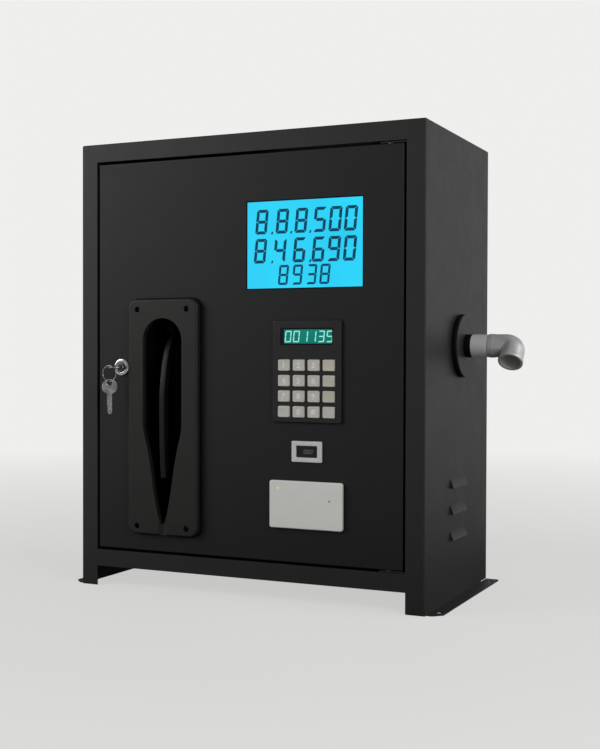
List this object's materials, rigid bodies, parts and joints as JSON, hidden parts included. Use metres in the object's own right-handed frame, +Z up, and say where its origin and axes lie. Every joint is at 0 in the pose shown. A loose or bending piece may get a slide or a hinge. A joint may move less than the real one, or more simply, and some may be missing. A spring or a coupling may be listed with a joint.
{
  "type": "compact fuel dispenser cabinet",
  "caption": "Sheet-steel dispenser cabinet with a hinged door, nozzle holster, back-lit display, keypad, card reader, cam lock with keys and an outlet elbow on its side.",
  "frame": {"origin": "middle of the base of the whole object's box, at the height of the underside of the feet", "axes": "+X to the right as seen by someone facing the door, towards the outlet elbow; +Y from the door to the rear cover; +Z up"},
  "size_m": [0.6, 0.3116, 0.6],
  "materials": {
    "cabinet_paint": "satin charcoal powder coat with a fine orange peel",
    "door_paint": "satin near-black powder coat with a fine orange peel",
    "black_plastic": "finely textured black plastic",
    "boot_plastic": "glossy black plastic",
    "black_rubber": "matt black rubber",
    "display_blue": "back-lit cyan liquid crystal display",
    "preset_green": "back-lit green liquid crystal display",
    "board_green": "lacquered circuit board",
    "key_grey": "warm grey moulded key caps",
    "reader_grey": "fine-grained light warm grey moulding",
    "led_green": "lit green indicator",
    "chrome": "polished nickel chrome",
    "satin_bezel": "satin metal frame",
    "pipe_steel": "satin steel, lightly tarnished",
    "zinc": "zinc-plated sheet",
    "cast_alloy": "sand-cast alloy",
    "brass": "turned brass",
    "motor_paint": "dark blue machine enamel"
  },
  "bodies": {
    "cabinet": {"side_panel_left": "cabinet_paint", "side_panel_right": "cabinet_paint", "top_panel": "cabinet_paint", "floor_tray": "cabinet_paint", "back_panel": "cabinet_paint", "hinge_bracket_upper": "cabinet_paint", "hinge_bracket_lower": "cabinet_paint", "outlet_gasket": "black_rubber", "outlet_flange": "cabinet_paint", "outlet_collar": "black_rubber", "outlet_nipple": "pipe_steel", "outlet_elbow": "pipe_steel", "pump_motor": "motor_paint", "pump_head": "cast_alloy", "motor_cradle": "zinc", "suction_pipe": "pipe_steel", "delivery_pipe": "pipe_steel", "flow_meter": "cast_alloy", "solenoid_valve": "brass", "power_supply": "zinc", "cable_gland": "black_plastic"},
    "door": {"door_panel": "door_paint", "hinge_pin_upper": "zinc", "hinge_pin_lower": "zinc", "holster_plate": "black_plastic", "holster_boot": "boot_plastic", "nozzle_switch": "black_plastic", "display_lens": "display_blue", "display_module": "black_plastic", "keypad_housing": "black_plastic", "preset_lcd": "preset_green", "control_board": "board_green", "counter_bezel": "satin_bezel", "counter_module": "black_plastic", "reader_cover": "reader_grey", "reader_led": "led_green", "lock_body": "chrome", "lock_nut": "zinc"},
    "lock_core": {"lock_plug": "chrome", "lock_cam": "zinc", "cabinet_key": "chrome"},
    "key_ring": {"key_ring": "chrome"},
    "spare_key": {"spare_key": "chrome"},
    "nozzle_lever": {"nozzle_lever": "boot_plastic"},
    "key_1": {"key_1": "key_grey"},
    "key_2": {"key_2": "key_grey"},
    "key_3": {"key_3": "key_grey"},
    "key_enter": {"key_enter": "key_grey"},
    "key_4": {"key_4": "key_grey"},
    "key_5": {"key_5": "key_grey"},
    "key_6": {"key_6": "key_grey"},
    "key_clear": {"key_clear": "key_grey"},
    "key_7": {"key_7": "key_grey"},
    "key_8": {"key_8": "key_grey"},
    "key_9": {"key_9": "key_grey"},
    "key_volume": {"key_volume": "key_grey"},
    "key_star": {"key_star": "key_grey"},
    "key_0": {"key_0": "key_grey"},
    "key_hash": {"key_hash": "key_grey"},
    "key_price": {"key_price": "key_grey"}
  },
  "joints": [
    {"name": "door_hinge", "type": "hinge", "parent": "cabinet", "child": "door", "pos_m": [0.165, -0.12016, 0.312], "axis": [0, 0, 1], "range_deg": [0, 110]},
    {"name": "lock_turn", "type": "hinge", "parent": "door", "child": "lock_core", "pos_m": [-0.216, -0.12816, 0.298], "axis": [0, 1, 0], "range_deg": [0, 90]},
    {"name": "key_ring_turn", "type": "hinge", "parent": "lock_core", "child": "key_ring", "pos_m": [-0.22255, -0.14926, 0.28975], "axis": [0, 1, 0], "range_deg": [-80, 110]},
    {"name": "spare_key_swing", "type": "hinge", "parent": "key_ring", "child": "spare_key", "pos_m": [-0.22255, -0.14926, 0.27925], "axis": [1, 0, 0], "range_deg": [-10, 10]},
    {"name": "nozzle_lever_hinge", "type": "hinge", "parent": "door", "child": "nozzle_lever", "pos_m": [-0.15, -0.09416, 0.35], "axis": [1, 0, 0], "range_deg": [0, 8], "stiffness_Nm_per_rad": 0.08, "springref_deg": -20.05},
    {"name": "key_1_press", "type": "slide", "parent": "door", "child": "key_1", "axis": [0, 1, 0], "range_m": [0, 0.0015], "stiffness_N_per_m": 800},
    {"name": "key_2_press", "type": "slide", "parent": "door", "child": "key_2", "axis": [0, 1, 0], "range_m": [0, 0.0015], "stiffness_N_per_m": 800},
    {"name": "key_3_press", "type": "slide", "parent": "door", "child": "key_3", "axis": [0, 1, 0], "range_m": [0, 0.0015], "stiffness_N_per_m": 800},
    {"name": "key_enter_press", "type": "slide", "parent": "door", "child": "key_enter", "axis": [0, 1, 0], "range_m": [0, 0.0015], "stiffness_N_per_m": 800},
    {"name": "key_4_press", "type": "slide", "parent": "door", "child": "key_4", "axis": [0, 1, 0], "range_m": [0, 0.0015], "stiffness_N_per_m": 800},
    {"name": "key_5_press", "type": "slide", "parent": "door", "child": "key_5", "axis": [0, 1, 0], "range_m": [0, 0.0015], "stiffness_N_per_m": 800},
    {"name": "key_6_press", "type": "slide", "parent": "door", "child": "key_6", "axis": [0, 1, 0], "range_m": [0, 0.0015], "stiffness_N_per_m": 800},
    {"name": "key_clear_press", "type": "slide", "parent": "door", "child": "key_clear", "axis": [0, 1, 0], "range_m": [0, 0.0015], "stiffness_N_per_m": 800},
    {"name": "key_7_press", "type": "slide", "parent": "door", "child": "key_7", "axis": [0, 1, 0], "range_m": [0, 0.0015], "stiffness_N_per_m": 800},
    {"name": "key_8_press", "type": "slide", "parent": "door", "child": "key_8", "axis": [0, 1, 0], "range_m": [0, 0.0015], "stiffness_N_per_m": 800},
    {"name": "key_9_press", "type": "slide", "parent": "door", "child": "key_9", "axis": [0, 1, 0], "range_m": [0, 0.0015], "stiffness_N_per_m": 800},
    {"name": "key_volume_press", "type": "slide", "parent": "door", "child": "key_volume", "axis": [0, 1, 0], "range_m": [0, 0.0015], "stiffness_N_per_m": 800},
    {"name": "key_star_press", "type": "slide", "parent": "door", "child": "key_star", "axis": [0, 1, 0], "range_m": [0, 0.0015], "stiffness_N_per_m": 800},
    {"name": "key_0_press", "type": "slide", "parent": "door", "child": "key_0", "axis": [0, 1, 0], "range_m": [0, 0.0015], "stiffness_N_per_m": 800},
    {"name": "key_hash_press", "type": "slide", "parent": "door", "child": "key_hash", "axis": [0, 1, 0], "range_m": [0, 0.0015], "stiffness_N_per_m": 800},
    {"name": "key_price_press", "type": "slide", "parent": "door", "child": "key_price", "axis": [0, 1, 0], "range_m": [0, 0.0015], "stiffness_N_per_m": 800}
  ]
}
